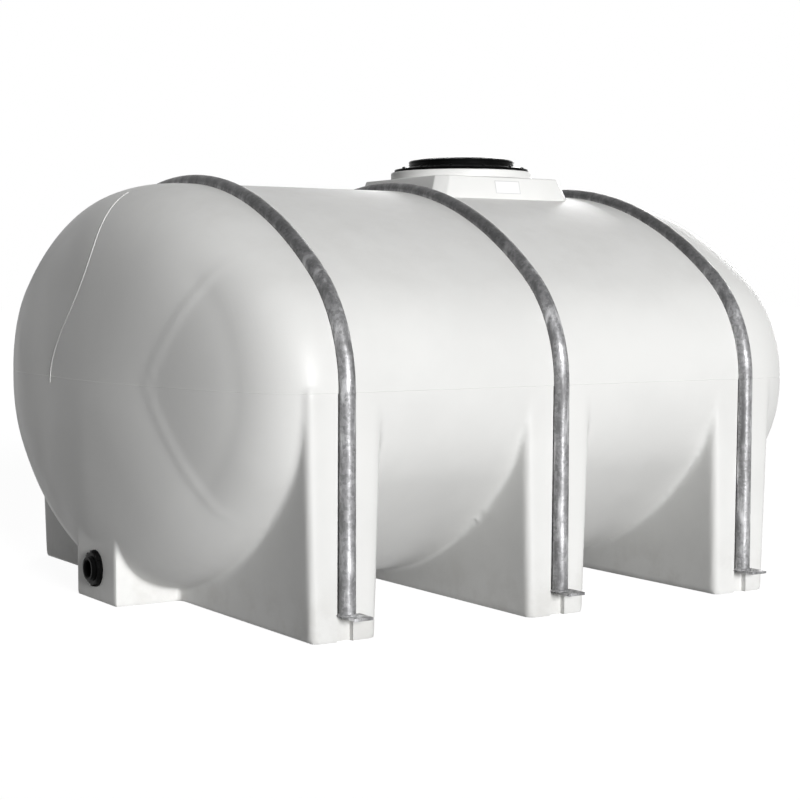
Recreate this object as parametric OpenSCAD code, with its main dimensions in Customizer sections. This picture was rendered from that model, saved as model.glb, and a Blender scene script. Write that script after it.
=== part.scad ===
// Horizontal leg tank: one rotationally moulded polyethylene shell with domed ends and three
// full-width hollow legs, held down by three bent pipe hoops, with a lidded manway on its
// crown and a bulkhead outlet in a low sump at one end.
// X runs along the tank with the outlet at -X, Y across it, Z up from the floor.

/* [Barrel] */
// Width of the barrel across its moulded sides
barrel_w = 1950; // [1500:10:2400]
// Rise of the barrel from its parting line to its crown
crown_rise = 613; // [480:1:740]
// Drop of the barrel from its parting line to its belly
belly_drop = 655; // [520:1:790]
// Radius of the haunches that join crown and belly to the sides
haunch_r = 410; // [330:5:440]
// Length of straight barrel beyond each end hoop
barrel_end = 38; // [30:1:80]
// Thickness of the moulded wall
wall = 8; // [6:0.5:12]
// Gap between the belly and the floor
belly_gap = 30; // [15:5:80]

/* [End domes] */
// Depth of the rounded knuckle of each dome
knuckle_depth = 285; // [230:5:330]
// Extra bulge of the middle of each dome
dome_bulge = 25; // [10:5:60]
// Depth of the two side panels pressed into each dome
panel_depth = 52; // [20:1:60]
// Distance of a side panel's crease from the middle of the dome
crease_y = 384; // [320:1:430]
// Angle that the straight creases of a side panel span, seen from the end
panel_angle = 92; // [80:2:110]

/* [Legs] */
// Distance between neighbouring legs, and between their hoops
leg_pitch = 737; // [600:1:890]
// Width of a leg's foot along the tank
foot_w = 208; // [170:2:250]
// Draft of the leg faces in degrees
leg_draft = 2; // [0.5:0.25:3]
// Radius of the legs' upright corners
leg_corner = 22; // [10:1:40]
// Distance of the legs' outer faces inside the barrel's sides, at the floor
leg_inset = 7; // [4:1:20]

/* [Hoops] */
// Outside diameter of the hoop pipe
pipe_d = 48; // [38:0.5:56]
// Wall thickness of the hoop pipe
pipe_wall = 3.7; // [2:0.1:5]
// Distance from the moulded skin to the pipe's centre line
pipe_stand = 4; // [2:1:12]
// Gap between the pipe and each side of its slot in a leg
slot_gap = 7; // [2:0.5:12]
// Gap between the pipe and the back of its slot in a leg
slot_back = 5; // [0:0.5:12]
// Height of the hoop feet above the floor
foot_z = 68; // [50:1:100]
// Width of a hoop's foot plate along the tank
plate_w = 60; // [55:1:80]
// Length of a hoop's foot plate beyond the pipe's centre line
plate_reach = 64; // [60:1:90]
// Thickness of a hoop's foot plate
plate_t = 8; // [5:0.5:12]
// Diameter of the bolt hole in a foot plate
bolt_d = 14; // [9:1:17]

/* [Manway] */
// Gap between the middle hoop's groove and the saddle, at its top
saddle_gap = 33; // [30:1:60]
// Margin of the saddle beyond the neck along the tank, at its top
saddle_end_land = 21; // [10:1:30]
// Margin of the saddle beyond the neck across the tank, at its top
saddle_side_land = 4; // [2:1:40]
// Rise of the saddle's top above the crown
saddle_rise = 46; // [35:1:70]
// Outward slope of the saddle's long sides, as run over rise
saddle_side_slope = 0.8; // [0.3:0.05:1]
// Outward slope of the saddle's ends, as run over rise
saddle_end_slope = 0.4; // [0.2:0.05:0.5]
// Size of the cut-off corners of the saddle
saddle_chamfer = 50; // [30:5:90]
// Margin of the round neck beyond the clamp ring
neck_land = 12; // [6:1:20]
// Height of the neck above the saddle
neck_h = 27; // [18:1:40]
// Clear diameter of the manway opening
manway_bore = 406; // [380:1:490]
// Margin of the black clamp ring beyond the opening
ring_land = 31; // [20:1:40]
// Thickness of the clamp ring
ring_t = 14; // [10:1:20]
// Outside diameter of the lid's raised crown
lid_d = 368; // [340:1:380]
// Height of the lid's raised wall above the ring
lid_wall_h = 26; // [16:1:36]
// Bulge of the lid's top above its wall
lid_bulge = 14; // [6:1:20]
// Radius of the rounded edge between the lid's wall and its top
lid_edge = 6; // [2:1:10]
// Thickness of the lid and ring gasket
gasket_t = 4; // [2:0.5:6]

/* [Outlet] */
// Width of the outlet sump across the tank
sump_w = 300; // [240:5:340]
// Distance of the sump's face inside the tip of the dome
sump_inset = 28; // [10:1:60]
// Height of the sump's top at its face
sump_h = 240; // [200:5:280]
// Height of the outlet's centre above the floor
outlet_z = 102; // [90:1:130]
// Bore of the outlet fitting
outlet_bore = 52; // [40:1:54]
// Outside diameter of the fitting's threaded barrel
thread_d = 76; // [70:1:84]
// Distance that the threaded barrel stands out of the sump's face
thread_reach = 28; // [22:1:60]
// Width of the fitting's nut and inner flange
nut_d = 116; // [100:1:130]
// Thickness of the fitting's nut
nut_t = 16; // [12:1:22]
// Thickness of the rim at the foot of the nut
nut_rim_t = 5; // [3:0.5:8]
// Number of lugs around the nut
nut_lugs = 8; // [4:1:12]
// Distance that a lug stands out of the nut
lug_out = 7; // [4:0.5:10]
// Width of a lug
lug_w = 20; // [12:1:26]

/* [Hidden] */
$fn = 96;

// Colours
poly_colour = "ivory";
steel_colour = "silver";
black_colour = "#1c1c1c";

// Overall shape of the moulding
half_w = barrel_w / 2;
half_len = leg_pitch + barrel_end;
parting_z = belly_gap + belly_drop;
crown_z = parting_z + crown_rise;
dome_depth = knuckle_depth + dome_bulge;
haunch_y = half_w - haunch_r;
arc_steps = 10;
ring_steps = 11;
skin = 0.01;
knuckle_power = 6;
knuckle_round = 2.5;
panel_rim = 0.953;
panel_fade = 0.16;
crease_round = 50;
crease_least = 30;
crease_bow = 450;
seat_gap = 0.3;
over = 1;

// Legs, hoops and their grooves
leg_places = [-leg_pitch, 0, leg_pitch];
leg_top_w = foot_w + 2 * parting_z * tan(leg_draft);
pipe_y = half_w + pipe_stand;
groove_w = pipe_d + 2;
groove_depth = pipe_d / 2 - pipe_stand + seat_gap;
slot_w = pipe_d + 2 * slot_gap;
slot_y = half_w - groove_depth - slot_back;
plate_top_z = foot_z + plate_t;
plate_shift = 15;
weld_gap = 0.6;
weld_proud = 0.3;
weld_w = 4;
mouth_inset = 123;
mouth_y = half_w - mouth_inset;
plate_y = half_w - leg_inset * (1 - plate_top_z / parting_z) + seat_gap;
bolt_y = pipe_y + (pipe_d / 2 + plate_reach) / 2;

// Manway
ring_d = manway_bore + 2 * ring_land;
neck_d = ring_d + 2 * neck_land;
saddle_len = neck_d + 2 * saddle_end_land;
saddle_w = neck_d + 2 * saddle_side_land;
manway_x = groove_w / 2 + saddle_gap + saddle_len / 2;
saddle_top_z = crown_z + saddle_rise;
saddle_root = 70;
saddle_root_z = crown_z - saddle_root;
neck_top_z = saddle_top_z + neck_h;
gasket_inset = 5;
ring_z = neck_top_z + gasket_t;
lid_seat_z = ring_z + ring_t;
lid_z = lid_seat_z + gasket_t;
lid_wall = 6;
lid_fit = 6;
lid_lap = 14;
lid_spigot = 20;

// Outlet sump
sump_x = half_len + dome_depth - sump_inset;
sump_back_x = -leg_pitch - foot_w / 2;
nut_clear = 1;
lug_fall = 2;

// Radius of the arch that joins the two haunches at a given rise
function arch_radius(rise) =
  (half_w * half_w - 2 * half_w * haunch_r + rise * rise) / (2 * (rise - haunch_r));

// Angle at which a haunch hands over to the arch
function hand_over(rise) = atan2(arch_radius(rise) - rise, haunch_y);

// One quarter of the section, from the parting line up to the middle of the arch
function quarter(rise, inset) =
  let (angle = hand_over(rise), arch = arch_radius(rise))
  concat(
    [for (i = [0 : arc_steps])
      let (a = angle * i / arc_steps)
      [haunch_y + (haunch_r - inset) * cos(a), (haunch_r - inset) * sin(a)]],
    [for (i = [1 : arc_steps])
      let (a = angle + (90 - angle) * i / arc_steps)
      [(arch - inset) * cos(a), (arch - inset) * sin(a) - (arch - rise)]]
  );

function reversed(points) = [for (i = [len(points) - 1 : -1 : 0]) points[i]];
function without_last(points) = [for (i = [0 : len(points) - 2]) points[i]];
function flip_y(points) = [for (p = points) [-p[0], p[1]]];
function flip_z(points) = [for (p = points) [p[0], -p[1]]];

// Half of the section from one side to the other, above or below the parting line
function crown_line(inset) =
  concat(quarter(crown_rise, inset), reversed(without_last(flip_y(quarter(crown_rise, inset)))));
function belly_line(inset) = flip_z(
  concat(quarter(belly_drop, inset), reversed(without_last(flip_y(quarter(belly_drop, inset))))));

// The whole section, once round
function section(inset) =
  concat(without_last(crown_line(inset)), reversed([for (i = [1 : len(belly_line(inset)) - 1])
    belly_line(inset)[i]]));

// Distance of a dome's surface from the rim plane at a share of the section's size
function dome_rise(share) =
  knuckle_depth * pow(max(0, 1 - pow(share, knuckle_power)), 1 / knuckle_round)
  + dome_bulge * (1 - share * share);

// Place of a panel's crease at a height: two straight creases on one side, a bowed one on the other
function crease_at(z, straight) =
  straight
  ? crease_y - crease_round + norm([crease_round, z / tan(panel_angle / 2)])
  : max(crease_least, crease_y - z * z / crease_bow);

// How far a point of the dome is pressed in, from 0 in its middle to 1 beyond a crease
function panel_share(y, z, share, straight) =
  let (ramp = min(1, max(0, 1 - (crease_at(z, straight) - abs(y)) / crease_y)))
  ramp * ramp * min(1, max(0, (panel_rim - share) / panel_fade));

// Extrudes a flat shape given in Y and Z along the tank from x0 to x1
module along_tank(x0, x1) {
  translate([x0, 0, 0])
    rotate([90, 0, 90])
      linear_extrude(height = x1 - x0)
        children();
}

// Solid of the straight barrel's outside, made smaller by an inset
module barrel_form(inset, x0, x1) {
  translate([0, 0, parting_z])
    along_tank(x0, x1)
      polygon(section(inset));
}

// Part of the upper shell between two insets and two places along the tank
module crown_band(x0, x1, outer, inner) {
  translate([0, 0, parting_z])
    along_tank(x0, x1)
      polygon(concat(crown_line(outer), reversed(crown_line(inner))));
}

// Outer body of a dome, or its hollow when inset by the wall
module dome_form(inset, side) {
  outline = section(inset);
  count = len(outline);
  shares = [for (i = [0 : ring_steps - 1]) cos(90 * i / ring_steps)];
  squeeze = 1 - inset / dome_depth;
  points = concat(
    [for (s = shares) for (p = outline)
      let (press = panel_depth * panel_share(s * p[0], s * p[1], s, side * p[0] > 0))
      [half_len + squeeze * (dome_rise(s) - press), s * p[0], s * p[1] + parting_z]],
    [[half_len + squeeze * dome_rise(0), 0, parting_z]]
  );
  walls = [for (i = [0 : ring_steps - 2]) for (j = [0 : count - 1])
    let (k = (j + 1) % count)
    each [
      [i * count + j, i * count + k, (i + 1) * count + j],
      [i * count + k, (i + 1) * count + k, (i + 1) * count + j]
    ]];
  cap = [for (j = [0 : count - 1])
    [count * (ring_steps - 1) + j, count * (ring_steps - 1) + (j + 1) % count,
      count * ring_steps]];
  rim = [[for (j = [count - 1 : -1 : 0]) j]];
  polyhedron(points, [for (f = concat(walls, cap, rim)) reversed(f)]);
}

// Places a dome at the outlet end or at the plain end
module at_end(side) {
  if (side > 0) children();
  else mirror([1, 0, 0]) children();
}

// Leg body with drafted faces and rounded upright corners, inset by a wall
module leg_form(x, inset) {
  low = [foot_w / 2 - inset, half_w - leg_inset - inset];
  high = [leg_top_w / 2 - inset, half_w - inset];
  corner = leg_corner - inset;
  translate([x, 0, 0])
    hull()
      for (level = [[inset, low], [parting_z - skin, high]])
        translate([0, 0, level[0]])
          linear_extrude(height = skin)
            for (sx = [-1, 1])
              for (sy = [-1, 1])
                translate([sx * (level[1][0] - corner), sy * (level[1][1] - corner)])
                  circle(r = corner, $fn = 32);
}

// Saddle body with cut-off corners and sloping sides, inset by a wall
module saddle_form(inset) {
  fall = saddle_top_z - saddle_root_z;
  module plan(drop) {
    a = saddle_len / 2 + drop * saddle_end_slope - inset;
    b = saddle_w / 2 + drop * saddle_side_slope - inset;
    c = saddle_chamfer;
    polygon([[a, b - c], [a - c, b], [c - a, b], [-a, b - c], [-a, c - b], [c - a, -b],
      [a - c, -b], [a, c - b]]);
  }
  translate([manway_x, 0, 0])
    hull() {
      translate([0, 0, saddle_root_z])
        linear_extrude(height = skin) plan(fall);
      translate([0, 0, saddle_top_z - inset - skin])
        linear_extrude(height = skin) plan(0);
    }
}

// Bend of a pipe about the middle of its arc, stopping short of both ends by a gap
module pipe_bend(radius, from, to, diameter) {
  gap = weld_gap / radius * 180 / PI;
  rotate([0, 0, from + gap])
    rotate_extrude(angle = to - from - 2 * gap, $fn = 360)
      translate([radius, 0]) circle(d = diameter, $fn = 48);
}

// Butt weld that closes the gap between two lengths of pipe
module pipe_weld(radius, at, diameter) {
  rotate([0, 0, at])
    translate([radius, 0, 0])
      rotate([90, 0, 0])
        cylinder(d = diameter + 2 * weld_proud, h = weld_w, center = true, $fn = 48);
}

// Solid rod along a hoop: two straight runs, two haunch bends and the crown bend
module hoop_rod(diameter, z_end) {
  angle = hand_over(crown_rise);
  arch = arch_radius(crown_rise);
  bend_r = haunch_r + pipe_stand;
  for (side = [-1, 1])
    translate([0, side * pipe_y, z_end])
      cylinder(d = diameter, h = parting_z - weld_gap - z_end, $fn = 48);
  translate([0, 0, parting_z])
    rotate([90, 0, 90]) {
      translate([haunch_y, 0, 0]) {
        pipe_bend(bend_r, 0, angle, diameter);
        pipe_weld(bend_r, 0, diameter);
        pipe_weld(bend_r, angle, diameter);
      }
      translate([-haunch_y, 0, 0]) {
        pipe_bend(bend_r, 180 - angle, 180, diameter);
        pipe_weld(bend_r, 180, diameter);
        pipe_weld(bend_r, 180 - angle, diameter);
      }
      translate([0, crown_rise - arch, 0])
        pipe_bend(arch + pipe_stand, angle, 180 - angle, diameter);
    }
}

// Upper half of the barrel, stepped in under each hoop and open below the saddle
module barrel_crown() {
  half_groove = groove_w / 2;
  edges = concat([-half_len], [for (x = leg_places) each [x - half_groove, x + half_groove]],
    [half_len]);
  color(poly_colour)
    difference() {
      union() {
        for (i = [0 : 2 : len(edges) - 1])
          crown_band(edges[i], edges[i + 1], 0, wall);
        for (x = leg_places) {
          crown_band(x - half_groove, x + half_groove, groove_depth, groove_depth + wall);
          crown_band(x - half_groove - wall, x - half_groove, 0, groove_depth + wall);
          crown_band(x + half_groove, x + half_groove + wall, 0, groove_depth + wall);
        }
      }
      saddle_form(wall);
    }
}

// Space that a hoop's straight runs take up in the sides, grown by a wall
module hoop_slots(x, grow, height) {
  back_y = slot_y - grow;
  for (side = [-1, 1])
    translate([x - slot_w / 2 - grow, side > 0 ? back_y : -back_y - half_w, -over])
      cube([slot_w + 2 * grow, half_w, height + over]);
}

// Lower half of the barrel, stepped in behind the hoops and open into the hollow legs
module barrel_belly() {
  color(poly_colour)
    difference() {
      union() {
        translate([0, 0, parting_z])
          along_tank(-half_len, half_len)
            polygon(concat(belly_line(0), reversed(belly_line(wall))));
        for (x = leg_places)
          intersection() {
            barrel_form(0, max(-half_len, x - slot_w / 2 - wall),
              min(half_len, x + slot_w / 2 + wall));
            hoop_slots(x, wall, parting_z);
          }
      }
      for (x = leg_places) {
        translate([x - foot_w / 2 + wall, -mouth_y, 0])
          cube([foot_w - 2 * wall, 2 * mouth_y, parting_z - haunch_r / 2]);
        hoop_slots(x, 0, parting_z + over);
      }
    }
}

// End dome with two pressed side panels
module end_dome(side) {
  color(poly_colour)
    difference() {
      at_end(side)
        difference() {
          dome_form(0, side);
          dome_form(wall, side);
        }
      if (side < 0) sump_hollow();
    }
}

// Inside of the outlet sump, open to the tank
module sump_hollow() {
  translate([-sump_x + wall, -sump_w / 2 + wall, wall])
    cube([sump_x + sump_back_x - 2 * wall, sump_w - 2 * wall, sump_h - 2 * wall]);
}

// Hollow leg under the barrel, with a groove for the hoop in each outer face
module leg(x) {
  color(poly_colour)
    difference() {
      leg_form(x, 0);
      difference() {
        leg_form(x, wall);
        hoop_slots(x, wall, parting_z);
      }
      hoop_slots(x, 0, parting_z + over);
      barrel_form(0, -half_len, half_len);
      if (abs(x) > 0) at_end(x) dome_form(0, sign(x));
    }
}

// Low box at the outlet end that the fitting passes through
module outlet_sump() {
  color(poly_colour)
    difference() {
      translate([-sump_x, -sump_w / 2, 0])
        cube([sump_x + sump_back_x, sump_w, sump_h]);
      sump_hollow();
      translate([-sump_x - over, 0, outlet_z])
        rotate([0, 90, 0])
          cylinder(d = thread_d + nut_clear, h = wall + 2 * over);
      at_end(-1) dome_form(0, -1);
      barrel_form(0, -half_len, half_len);
      leg_form(-leg_pitch, 0);
    }
}

// Raised block on the crown that carries the manway
module manway_saddle() {
  color(poly_colour)
    difference() {
      saddle_form(0);
      saddle_form(wall);
      barrel_form(0, -half_len, half_len);
      translate([manway_x, 0, saddle_top_z - wall - over])
        cylinder(d = neck_d - 2 * wall, h = wall + 2 * over);
    }
}

// Round neck with an inward land at its top
module manway_neck() {
  color(poly_colour)
    translate([manway_x, 0, saddle_top_z])
      difference() {
        cylinder(d = neck_d, h = neck_h);
        translate([0, 0, -over])
          cylinder(d = neck_d - 2 * wall, h = neck_h - wall + over);
        cylinder(d = manway_bore, h = neck_h + over);
      }
}

// Flat ring standing on the manway's axis
module manway_washer(z, outside_d, inside_d, thickness) {
  translate([manway_x, 0, z])
    difference() {
      cylinder(d = outside_d, h = thickness);
      translate([0, 0, -over]) cylinder(d = inside_d, h = thickness + 2 * over);
    }
}

module neck_gasket() {
  color(black_colour) manway_washer(neck_top_z, ring_d - 2 * gasket_inset, manway_bore, gasket_t);
}

module clamp_ring() {
  color(black_colour) manway_washer(ring_z, ring_d, lid_d - 2 * lid_lap, ring_t);
}

module lid_gasket() {
  color(black_colour) manway_washer(lid_seat_z, lid_d, lid_d - 2 * lid_lap, gasket_t);
}

// Dished lid with a spigot that drops into the clamp ring
module lid() {
  r = lid_d / 2;
  top_r = r - lid_edge;
  spigot_r = r - lid_lap - lid_fit;
  dish = (top_r * top_r + lid_bulge * lid_bulge) / (2 * lid_bulge);
  dish_angle = asin(top_r / dish);
  under = lid_wall_h - lid_wall;
  dish_steps = 12;
  color(black_colour)
    translate([manway_x, 0, lid_z])
      rotate_extrude($fn = 180)
        polygon(concat(
          [for (i = [0 : dish_steps])
            let (a = dish_angle * i / dish_steps)
            [dish * sin(a), lid_wall_h + lid_bulge - dish + dish * cos(a)]],
          [for (a = [60 : -30 : 0])
            [top_r + lid_edge * cos(a), lid_wall_h - lid_edge + lid_edge * sin(a)]],
          [[r, 0], [spigot_r, 0], [spigot_r, -lid_spigot], [spigot_r - lid_wall, -lid_spigot],
            [spigot_r - lid_wall, under], [0, under]]
        ));
}

// Bent pipe hoop over the crown and down both sides of a leg
module hoop(x) {
  color(steel_colour)
    translate([x, 0, 0])
      difference() {
        hoop_rod(pipe_d, plate_top_z);
        hoop_rod(pipe_d - 2 * pipe_wall, plate_top_z - over);
      }
}

// Flat plate at a hoop's foot, with its bolt hole outside the pipe
module foot_plate(x, side) {
  color(steel_colour)
    difference() {
      translate([x - plate_w / 2 + plate_shift, side > 0 ? plate_y : -pipe_y - plate_reach, foot_z])
        cube([plate_w, pipe_y + plate_reach - plate_y, plate_t]);
      translate([x + plate_shift, side * bolt_y, foot_z - over])
        cylinder(d = bolt_d, h = plate_t + 2 * over);
    }
}

// Threaded barrel of the outlet with its inner flange
module outlet_body() {
  color(black_colour)
    translate([-sump_x, 0, outlet_z])
      rotate([0, 90, 0])
        difference() {
          union() {
            translate([0, 0, -thread_reach])
              cylinder(d = thread_d, h = thread_reach + wall + gasket_t);
            translate([0, 0, wall + gasket_t]) cylinder(d = nut_d, h = nut_t);
          }
          translate([0, 0, -thread_reach - over])
            cylinder(d = outlet_bore, h = thread_reach + wall + gasket_t + nut_t + 2 * over);
        }
}

module outlet_gasket() {
  color(black_colour)
    translate([-sump_x + wall, 0, outlet_z])
      rotate([0, 90, 0])
        difference() {
          cylinder(d = nut_d, h = gasket_t);
          translate([0, 0, -over]) cylinder(d = thread_d + nut_clear, h = gasket_t + 2 * over);
        }
}

// Lugged nut with a round rim at its foot
module outlet_nut() {
  body_r = nut_d / 2 - lug_out;
  color(black_colour)
    translate([-sump_x, 0, outlet_z])
      rotate([0, -90, 0])
        difference() {
          union() {
            cylinder(d = nut_d, h = nut_rim_t);
            rotate([0, 0, 180 / nut_lugs]) cylinder(r = body_r, h = nut_t);
            for (i = [0 : nut_lugs - 1])
              rotate([0, 0, 360 * i / nut_lugs])
                translate([body_r - lug_out, -lug_w / 2, nut_rim_t - over])
                  cube([2 * lug_out - lug_fall, lug_w, nut_t - nut_rim_t]);
          }
          translate([0, 0, -over]) cylinder(d = thread_d + nut_clear, h = nut_t + 2 * over);
        }
}

barrel_crown();
barrel_belly();
end_dome(-1);  // dome_outlet_end
end_dome(1);  // dome_plain_end
leg(-leg_pitch);  // leg_outlet_end
leg(0);  // leg_middle
leg(leg_pitch);  // leg_plain_end
outlet_sump();
manway_saddle();
manway_neck();
neck_gasket();
clamp_ring();
lid_gasket();
lid();
hoop(-leg_pitch);  // hoop_outlet_end
hoop(0);  // hoop_middle
hoop(leg_pitch);  // hoop_plain_end
foot_plate(-leg_pitch, -1);  // foot_plate_outlet_near
foot_plate(-leg_pitch, 1);  // foot_plate_outlet_far
foot_plate(0, -1);  // foot_plate_middle_near
foot_plate(0, 1);  // foot_plate_middle_far
foot_plate(leg_pitch, -1);  // foot_plate_plain_near
foot_plate(leg_pitch, 1);  // foot_plate_plain_far
outlet_body();
outlet_gasket();
outlet_nut();
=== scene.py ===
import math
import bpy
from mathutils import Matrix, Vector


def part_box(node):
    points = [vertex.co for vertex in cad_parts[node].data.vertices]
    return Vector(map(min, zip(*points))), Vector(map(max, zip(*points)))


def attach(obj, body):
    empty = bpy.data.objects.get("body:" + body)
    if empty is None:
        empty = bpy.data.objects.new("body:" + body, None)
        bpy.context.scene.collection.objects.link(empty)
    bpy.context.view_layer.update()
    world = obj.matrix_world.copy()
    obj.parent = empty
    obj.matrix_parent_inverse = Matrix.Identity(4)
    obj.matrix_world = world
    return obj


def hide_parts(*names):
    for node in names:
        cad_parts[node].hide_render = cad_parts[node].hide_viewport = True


bl_info = {
    "name": "Leg Tank",
    "version": (1, 0, 0),
    "blender": (4, 5, 0),
    "location": "View3D > Sidebar > Leg Tank",
    "description": "Builds the finished surfaces of a moulded leg tank around its packed parts",
    "category": "Add Mesh",
}

import bmesh
import bpy
from mathutils import Matrix, Vector

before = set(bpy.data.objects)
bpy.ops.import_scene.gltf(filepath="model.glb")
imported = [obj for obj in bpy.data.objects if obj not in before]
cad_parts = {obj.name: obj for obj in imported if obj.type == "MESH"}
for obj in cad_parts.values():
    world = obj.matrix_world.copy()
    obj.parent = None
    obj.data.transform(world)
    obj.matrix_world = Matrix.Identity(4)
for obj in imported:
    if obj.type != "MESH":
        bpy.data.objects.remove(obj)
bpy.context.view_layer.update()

ENDS = ("outlet_end", "middle", "plain_end")
FEET = ("outlet", "middle", "plain")
LEGS = tuple("leg_" + end for end in ENDS)
MOULDED = (
    "barrel_crown", "barrel_belly", "dome_outlet_end", "dome_plain_end", *LEGS,
    "outlet_sump", "manway_saddle", "manway_neck",
)


def middle_of(node):
    """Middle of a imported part's box."""
    low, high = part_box(node)
    return (low + high) / 2


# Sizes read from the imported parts, in metres
CROWN_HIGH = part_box("barrel_crown")[1]
BELLY_LOW, BELLY_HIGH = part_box("barrel_belly")
DOME_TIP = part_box("dome_plain_end")[1].x
HALF_W = CROWN_HIGH.y
HALF_LEN = CROWN_HIGH.x
PARTING_Z = BELLY_HIGH.z
CROWN_RISE = CROWN_HIGH.z - PARTING_Z
BELLY_DROP = PARTING_Z - BELLY_LOW.z
LEG_X = [middle_of(leg).x for leg in LEGS]
HOOP_LOW, HOOP_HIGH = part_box("hoop_middle")
PIPE_R = (HOOP_HIGH.x - HOOP_LOW.x) / 2
PIPE_Y = HOOP_HIGH.y - PIPE_R
PIPE_STAND = PIPE_Y - HALF_W
MANWAY = middle_of("manway_neck")
LID_LOW, LID_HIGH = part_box("lid")
LID_R = (LID_HIGH.x - LID_LOW.x) / 2

# Sizes chosen for the surfaces, in metres
MOUTH_R = 0.203
LID_SEAL_R = 0.166
OUTLET_R = 0.0385
OUTLET_BORE_R = 0.026
GROOVE_SPARE = 0.001
GROOVE_EDGE = 0.002
SKIN_MATCH = 1e-4
CREASE_ROUND = 0.05
SADDLE_TRIM = 0.01
SADDLE_SUNK = 0.07
SADDLE_CORNER = 0.05
NECK_SUNK = 0.1
LEG_SUNK = 0.09
CHANNEL_SUNK = 0.03
WELD_RIPPLE = 0.0005
LABEL_RIM = 0.0025
LABEL_RIM_FADE = 0.0015
FAR_OUT = 2

# Places along the bowed crease of a dome: across the tank, and up from the parting line
CREASE_PATH = (
    (0.343, -0.02), (0.338, 0.02), (0.31, 0.07), (0.24, 0.14), (0.15, 0.205), (0.07, 0.27),
    (0.01, 0.34), (-0.025, 0.41), (-0.04, 0.48), (-0.04, 0.54), (-0.03, 0.58))

# Powers of a dome's profile
KNUCKLE_POWER = 6
NEAR_POWER = 5
KNUCKLE_ROOT = 0.4

# Counts, and shares of a piece's own size
CREASE_CORNER_CUTS = 3
CREASE_SINK = 0.3
DOME_CENTRE_SHARE = 0.001
LEG_SUNK_SIZE = (0.86, 0.965, 1)
SCREW_OUTLINE = ((0, 1), (0.55, 0.94), (0.9, 0.6), (1, 0.15), (1, -0.2), (0, -0.2))
SCREW_HEIGHT = 0.7
SCREW_SOCKET = 0.34
WELD_WAVES = 21

# The camera's place, aim and lens
CAMERA_PLACE = (-3.2004, -5.0335, 0.9616)
CAMERA_YAW = math.radians(-32.758)
CAMERA_PITCH = math.radians(-3.778)
CAMERA_ROLL = math.radians(0.045)
CAMERA_LENS = 78.742
CAMERA_SENSOR = 36
CAMERA_SHIFT = (0.00975, 0.0082)
CAMERA_REACH = 100


# ---------------------------------------------------------------- settings

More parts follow.
